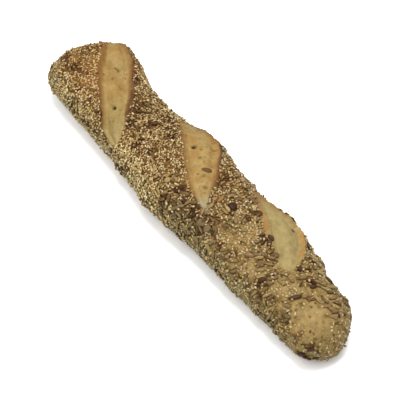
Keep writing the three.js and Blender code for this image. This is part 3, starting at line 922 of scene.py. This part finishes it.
def crust_tint(x, phi, z, crowd):
    """Colour of the crust and how open the skin is, from its place, its height and how thick seeds lie on it, which
    darkens it partly as browning and partly as painted shade between the seeds.
    """
    s = ROLL * wrap(phi)
    relief, inside, t, side, which, dark = slash_fields(x, phi)
    p = roll_space(x, phi)
    n1, n2, n3 = patches(p, 30.0), patches(p + 500, 11.0), patches(p + 900, 4.5)

    # crust under the seeds: browned on top, warmer at the far end, greyer down the sides, doughy past the middle
    c = mix(own(128, 92, 50), own(104, 76, 42), smooth(0.5 + 0.9 * n2))
    c = mix(c, own(154, 110, 60), 0.70 * smooth((-x - 105) / 50) * smooth((s + 52) / 30))
    c = mix(c, own(160, 118, 62), 0.45 * smooth((n3 - 0.12) / 0.3) * smooth((x + 120) / 30) * smooth((60 - x) / 40) * smooth((s + 40) / 20))
    c = mix(c, own(118, 98, 62), smooth((-s - 26) / 26) * 0.85)
    c = mix(c, own(168, 120, 60), 0.75 * patch(x, s, 5, -14.5, 14, 4.5))
    c = mix(c, own(88, 60, 36), 0.75 * in_linseed_patch(x, s))
    c = c * (1 + 0.25 * amount(PALE_PATCHES, x, s))[..., None]
    near = smooth((x - 32 + 12 * n1) / 60)
    dough = mix(own(172, 144, 92), own(148, 124, 76), smooth(0.35 + 1.2 * n2))
    dough = mix(dough, own(168, 122, 64), 0.6 * smooth((n3 - 0.2) / 0.3) * smooth((110 - x) / 40))
    dough = mix(dough, own(146, 126, 78), 0.8 * smooth((x - 182) / 20))
    dough = mix(dough, own(148, 134, 98), 0.8 * smooth((x - 140) / 40) * smooth((s - 12) / 20))
    dough = mix(dough, own(170, 132, 76), smooth((x - 178) / 12) * smooth((12 - z) / 6))
    c = mix(c, dough, near * (0.92 - 0.25 * smooth((-s - 44) / 20)))
    c = c * (1 + 0.14 * n2 + 0.12 * n3)[..., None]
    # the sole: dusted, evenly browned
    low = smooth((np.abs(s) - 78) / 22)
    sole = mix(own(172, 136, 88), own(140, 101, 58), smooth(0.5 + 1.1 * n2 + 0.5 * n3))
    c = mix(c, sole, low)
    far = smooth((-x - 105) / 50) * smooth((s + 52) / 30)
    # darker where seeds lie thick, less so past the middle: partly browner crust, partly painted shade between and
    # under the seeds
    under = np.array([0.60, 0.66, 0.82]) - np.array([0.10, 0.10, 0.06]) * near[..., None] - np.array([0.16, 0.14, 0.06]) * far[..., None] - 0.14 * smooth((x - 150) / 30)[..., None]
    c = c * (1 - under * (crowd * (1 - low))[..., None])

    # the open slashes
    open_ = smooth(inside / 0.8)
    skin = mix(own(172, 135, 76), own(178, 147, 90), smooth(0.5 + 1.3 * n2))
    third = (which == 2).astype(float)
    second = (which == 1).astype(float)
    skin = mix(skin, own(170, 144, 88), (which == 0) * smooth((t - 0.50) / 0.3))
    skin = mix(skin, own(172, 130, 70), 0.35 * (which == 0) * smooth((0.30 - t) / 0.2))
    skin = mix(skin, own(174, 154, 101), 0.92 * third)
    skin = mix(skin, own(180, 155, 102), smooth((t - 0.78) / 0.2) * (1 - 0.6 * third))
    skin = mix(skin, own(172, 158, 122), 0.8 * second * smooth((t - 0.86) / 0.08))
    skin = mix(skin, own(158, 142, 98), 0.6 * second * smooth((s - 23) / 8) * smooth((-24 - x) / 10))
    skin = mix(skin, own(150, 108, 62), 0.5 * second * smooth((side - 0.3) / 0.5) * smooth((0.52 - t) / 0.10) * smooth((t - 0.3) / 0.1))
    # browner towards the edges of the second, and drawn into faint streaks
    browner = smooth((side - 0.35) / 0.5) * smooth((0.62 - t) / 0.15) + 0.35 * smooth((-side - 0.35) / 0.5) * smooth((0.9 - t) / 0.2)
    skin = mix(skin, own(172, 130, 68), 0.45 * second * browner)
    fine = streaks(np.stack([t * 16.0, side * 16.0, t * 0 + which * 40.0], -1), 1.6)
    skin = skin * ((0.89 - 0.03 * (which == 0) - 0.04 * third) + 0.08 * n3 + 0.08 * n2 + 0.06 * fine)[..., None]

    # the rims: browned in baking, darkened with painted shade at the lip edges
    for k, sign, t0, t1, outer, inner, colour in LIPS:
        on = (which == k) * (side * sign > 0) * smooth((t - t0) / 0.06 + 0.5) * smooth((t1 - t) / 0.06 + 0.5)
        on = on * np.clip(0.85 + 0.8 * n3 + 0.5 * n2, 0.25, 1)
        gold = 0.35 * np.array(own(*colour)) + 0.65 * own(164, 122, 64)
        w = on * smooth(1 - inside / inner) * (inside >= 0)
        skin = mix(skin, gold, 0.85 * w)
        w = on * smooth(1 - inside / (inner * 0.5)) * (inside >= 0)
        skin = mix(skin, own(*colour), 0.85 * w)
        # just outside the edge: the lip's browning and painted shade where the lip turns away
        w = on * smooth(1.25 + 1.25 * inside / (outer + 0.6)) * (inside < 0)
        c = mix(c, own(*colour), 0.9 * w)
    fold = (FOLD - 3.5 - s) / 3.0
    skin = mix(skin, own(132, 96, 50), 0.7 * smooth(-fold + 0.3 * n3) * (second + third * (x < 100)))
    c = mix(c, skin, open_)
    # pits, holes and creases: painted shade in the hollows, with some brown marks
    c = mix(c, own(84, 60, 32), 0.85 * np.minimum(dark, 1))
    c = mix(c, own(44, 28, 12), 0.85 * smooth(dark - 1))
    return np.clip(c * np.array([1.0, 1.015, 1.0]), 0.004, 1), open_


def pick_tints(rows, base, spread, seed, wash=0.05):
    """A colour for each seed: a blend of two baked shades, lighter or darker by a little."""
    r = np.random.default_rng(SEED + 90 + seed)
    n = len(rows)
    x, s = rows[:, 0], ROLL * wrap(rows[:, 1])
    q = roll_space(x, rows[:, 1])
    k = np.clip(r.normal(0.5, spread, n) - 0.35 * patches(q + 220, 9.0), 0, 1)
    c = mix(np.tile(base[0], (n, 1)), np.tile(base[1], (n, 1)), k)
    # greyer and greener low on the sides, warmer on top of the far end, paler in the upper layer
    low = smooth((-s - 30) / 30)
    c = c * (1 - low[:, None] * np.array([0.07, -0.02, 0.02]))
    # lighter and bluer up the far side towards its edge: painted light and sheen where the crust turns up to the light
    high = smooth((s - 18) / 14)[:, None] * (1 + 0.8 * smooth((x - 130) / 40))[:, None]
    c = c * (1 + high * np.array([0.0, 0.05, 0.10]) + (smooth((s - 26) / 10) * smooth((x + 150) / 40))[:, None] * np.array([0.06, 0.07, 0.09]))
    c = c * (1 + (0.10 * patch(x, s, 150, 12, 14, 8) - 0.06 * patch(x, s, -190, -40, 12, 14) - 0.05 * patch(x, s, -90, 12, 14, 8)))[:, None]
    c = c * (1 + (patch(x, s, 30, 16, 20, 12) + patch(x, s, -150, 8, 14, 30))[:, None] * np.array([0.04, -0.02, -0.10]))
    hot = smooth((-x - 110) / 50) * smooth((s + 45) / 30)
    c = c * (1 - hot[:, None] * np.array([0.0, 0.07, 0.14]))
    c = c * (1 - 0.16 * amount(LINSEED_PATCHES, x, s) + 0.12 * amount(PALE_PATCHES, x, s))[:, None]
    c = c * (1 - 0.12 * smooth((x + 10) / 50) + 0.12 * smooth((-s - 22) / 16) * smooth((36 - x) / 30) * smooth((x + 186) / 20))[:, None]
    c = c * (0.94 + 0.12 * rows[:, 9:10]) * (1 + 0.10 * patches(q + 400, 13.0))[:, None]
    # kernels are darker in the clump past the second slash
    c = c * (1 - 0.34 * patch(x, s, 36, -40, 26, 14) * (rows[:, 3] > 6))[:, None]
    # the widest flat seeds are darker, and a few others redder
    flat = (rows[:, 4] > 7) & (rows[:, 5] < 3.5)
    red = (r.uniform(0, 1, n) < 0.10) & (rows[:, 4] > 2.8) & ~flat
    c = np.where(red[:, None], c * np.array([1.0, 0.87, 0.84]), c)
    c = c * r.normal(1, wash, (n, 1)) * r.normal(1, (0.03, 0.025, 0.08), (n, 3))
    c = np.where(flat[:, None], own(118, 98, 66), c)
    c = np.where(((rows[:, 5] < 1.25) & (rows[:, 3] > 9))[:, None], own(108, 76, 46), c)
    return np.clip(c * np.array([1.0, 1.02, 1.0]), 0.002, 1)


# ---- build ------------------------------------------------------------------------------


def crowding(points, seeds):
    """How thick the seeds lie about each point, 0 to 1."""
    tree = mathutils.kdtree.KDTree(len(seeds))
    for i, p in enumerate(seeds):
        tree.insert(p, i)
    tree.balance()
    out = np.zeros(len(points))
    for i, p in enumerate(points):
        total = 0.0
        for _, _, d in tree.find_range(p, 2.6):
            total += 1 - d / 2.6
        out[i] = total
    return np.clip(out / 1.7, 0, 1)


def make_body(seeds):
    caps, body, around = 34, 374, 214
    e = np.sin(0.5 * math.pi * np.arange(1, caps + 1) / caps)
    first = -LENGTH / 2 + rounding_at(e, FAR_END)
    last = LENGTH / 2 - rounding_at(e, NEAR_END)[::-1]
    lo, hi = -LENGTH / 2 + FAR_END["cap"], LENGTH / 2 - NEAR_END["cap"]
    xs = np.concatenate([first, lo + (hi - lo) * np.arange(1, body + 1) / (body + 1), last])
    turn = -math.pi + TAU * (np.arange(around) + 0.5) / around
    phis = turn - 0.34 * np.sin(turn)
    X, P = np.meshgrid(xs, phis, indexing="ij")
    pts = crust(X, P).reshape(-1, 3)
    n, m = len(xs), around
    tips = np.array([-LENGTH / 2 + 0.001, LENGTH / 2 - 0.001])
    pts = np.concatenate([pts, crust(tips, tips * 0)])
    crowd = crowding(pts, seeds)
    tint, opened = crust_tint(np.concatenate([X.ravel(), tips]), np.concatenate([P.ravel(), tips * 0]), pts[:, 2], crowd)
    i, j = np.meshgrid(np.arange(n - 1), np.arange(m), indexing="ij")
    i, j = i.ravel(), j.ravel()
    k = (j + 1) % m
    a, b, c, d = i * m + j, (i + 1) * m + j, (i + 1) * m + k, i * m + k
    tris = np.concatenate([np.stack([a, b, c], -1), np.stack([a, c, d], -1)])
    ua, ub = (i + 1) / (n + 1), (i + 2) / (n + 1)
    va, vb = j / m, (j + 1) / m
    uv = np.concatenate([np.stack([ua, va, ub, va, ub, vb], -1), np.stack([ua, va, ub, vb, ua, vb], -1)])
    j = np.arange(m)
    k = (j + 1) % m
    far, near = n * m + 0 * j, n * m + 1 + 0 * j
    tris = np.concatenate([tris, np.stack([far, j, k], -1), np.stack([near, (n - 1) * m + k, (n - 1) * m + j], -1)])
    z, o = 0 * j / m, 1 + 0 * j / m
    q = 1 / (n + 1)
    uv = np.concatenate([uv, np.stack([z, (j + 0.5) / m, z + q, j / m, z + q, (j + 1) / m], -1),
                         np.stack([o, (j + 0.5) / m, o - q, (j + 1) / m, o - q, j / m], -1)])
    uv = 0.002 + 0.996 * uv
    return make_mesh("crust_body", pts / 1000, tris, uv, tint, {"opened": opened})


laid = lay_seeds()
# points along each seed, round which the crust gets its painted shade
places = []
for kind, rows in laid.items():
    p, nrm, u = crust_frame(rows[:, 0], rows[:, 1])
    v = np.cross(nrm, u)
    along = np.cos(rows[:, 2])[:, None] * u + np.sin(rows[:, 2])[:, None] * v
    for share in ((0.0,) if kind == "sesame" else (-0.36, -0.12, 0.12, 0.36)):
        places.append(p + share * rows[:, 3:4] * along)
body = make_body(np.concatenate(places))
body.data.materials.append(crust_material())
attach(body, "root")
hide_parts("loaf")
pieces = [body]

# sesame by how far it has browned
rng = np.random.default_rng(SEED + 5)
ses = laid["sesame"]
sx, ss = ses[:, 0], ROLL * wrap(ses[:, 1])
clump = patches(roll_space(sx, ses[:, 1]) + 150, 8.0)
dark_here, pale_here = amount(LINSEED_PATCHES, sx, ss), amount(PALE_PATCHES, sx, ss)
browned = 0.21 + 0.12 * clump + 0.35 * dark_here - 0.12 * pale_here - 0.10 * smooth((-ss - 24) / 30) * smooth((10 - sx) / 40)
pale = 0.35 - 0.08 * clump - 0.25 * dark_here + 0.20 * pale_here - 0.18 * smooth((sx - 140) / 30)
draw = rng.uniform(0, 1, len(ses))
kind = np.where(draw < browned, 2, np.where(draw < browned + pale, 0, 1))
sesame_shape = drop_shape(7, 3, 0.66, 0.46, 0.85)
sesame_kinds = (
    ("sesame_pale", (own(213, 190, 146), own(192, 162, 114))),
    ("sesame_toasted", (own(186, 154, 102), own(158, 124, 72))),
    ("sesame_browned", (own(142, 106, 56), own(106, 76, 36))),
)
sesame_look = seed_material("toasted_sesame", 0.50, 0.14, 0.10)
for k, (name, shades) in enumerate(sesame_kinds):
    rows = ses[kind == k][:4740]
    # the last number is how dark the painted shade on the seeds' undersides goes
    ob = make_seeds(name, rows, sesame_shape, pick_tints(rows, shades, 0.30, k, 0.09), 0.10, 0.05, k, 0.72)
    ob.data.materials.append(sesame_look)
    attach(ob, "root")
    pieces.append(ob)

# each kind gives last how dark the painted shade on its seeds' undersides goes
others = (
    ("sunflower_kernels", "kernel", drop_shape(12, 6, 0.80, 0.52, 0.9), (own(168, 138, 88), own(108, 82, 47)), 0.36, 0.14, 0.10, "sunflower",
     seed_material("sunflower_kernel", 0.48, 0.16, 0.20, True), 0.55),
    ("linseeds", "linseed", drop_shape(9, 4, 0.70, 0.50, 0.9), (own(108, 74, 44), own(72, 49, 29)), 0.32, 0.06, 0.04, "linseed",
     seed_material("linseed_skin", 0.44, 0.08, 0.12), 0.70),
    ("dark_seeds", "dark", drop_shape(14, 7, 0.60, 0.50, 0.85), (own(100, 66, 40), own(66, 42, 24)), 0.30, 0.16, 0.10, "linseed",
     seed_material("dark_seed_skin", 0.46, 0.10, 0.16, True), 0.70),
)
for k, (name, key, shape, shades, spread, wobble, curl, slot, look, underside_shade) in enumerate(others):
    rows = laid[key]
    around = lambda x, s, rx, rs: patch(rows[:, 0], ROLL * wrap(rows[:, 1]), x, s, rx, rs)
    if key == "linseed":
        # hardly any lie on the bare patch of the near end
        rows = rows[around(174, -8, 14, 12) < 0.35]
    tints = pick_tints(rows, shades, spread, 10 + k, 0.09)
    if key == "dark":
        # the ones beside the end of the second slash are the darkest
        tints = tints * (1 - around(22, -27, 18, 9)[:, None] * np.array([0.34, 0.24, 0.02]))
    ob = make_seeds(name, rows, shape, tints, wobble, curl, 10 + k, underside_shade, -0.15)
    ob.data.materials.append(look)
    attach(ob, "root")
    pieces.append(ob)

print("triangles", {o.name: len(o.data.polygons) for o in pieces}, sum(len(o.data.polygons) for o in pieces))

# ---- studio -----------------------------------------------------------------------------

bpy.ops.mesh.primitive_plane_add(size=8, location=(0, 0, 0))
floor = bpy.context.object
floor.name = "floor"
m, t, b = new_material("pale_floor")
b.inputs["Base Color"].default_value = (0.95, 0.95, 0.95, 1)
b.inputs["Roughness"].default_value = 0.9
floor.data.materials.append(m)

scene = bpy.context.scene
scene.view_settings.view_transform = "Standard"
world = bpy.data.worlds.new("studio")
scene.world = world
world.use_nodes = True
world.node_tree.nodes["Background"].inputs["Color"].default_value = (1, 1, 1, 1)
world.node_tree.nodes["Background"].inputs["Strength"].default_value = 0.914


def soft_light(name, azimuth, elevation, distance, size, watts):
    data = bpy.data.lights.new(name, "AREA")
    data.shape, data.size, data.energy = "DISK", size, watts
    ob = bpy.data.objects.new(name, data)
    scene.collection.objects.link(ob)
    a, e = math.radians(azimuth), math.radians(elevation)
    back = Vector((math.sin(a) * math.cos(e), -math.cos(a) * math.cos(e), math.sin(e)))
    ob.location = back * distance
    ob.rotation_mode = "QUATERNION"
    ob.rotation_quaternion = (-back).to_track_quat("-Z", "Y")


soft_light("key", 180, 86, 1.6, 0.8, 25.1)
soft_light("fill", 10, 60, 1.7, 1.0, 11.4)

# the photograph's view: 55 degrees round from the front, 50 degrees up
AZIMUTH, ELEVATION, DISTANCE = 54.88, 50.0, 1.2
TARGET = Vector((12.23 - MIDDLE[0], -4.41 - MIDDLE[1], 28.0)) / 1000
cam = bpy.data.cameras.new("camera")
cam.lens, cam.sensor_width = 120.0, 36.0
camera = bpy.data.objects.new("camera", cam)
scene.collection.objects.link(camera)
a, e = math.radians(AZIMUTH), math.radians(ELEVATION)
back = Vector((math.sin(a) * math.cos(e), -math.cos(a) * math.cos(e), math.sin(e)))
camera.location = TARGET + back * DISTANCE
camera.rotation_mode = "QUATERNION"
camera.rotation_quaternion = (-back).to_track_quat("-Z", "Y")
cam.clip_start, cam.clip_end = 0.05, 50
scene.camera = camera
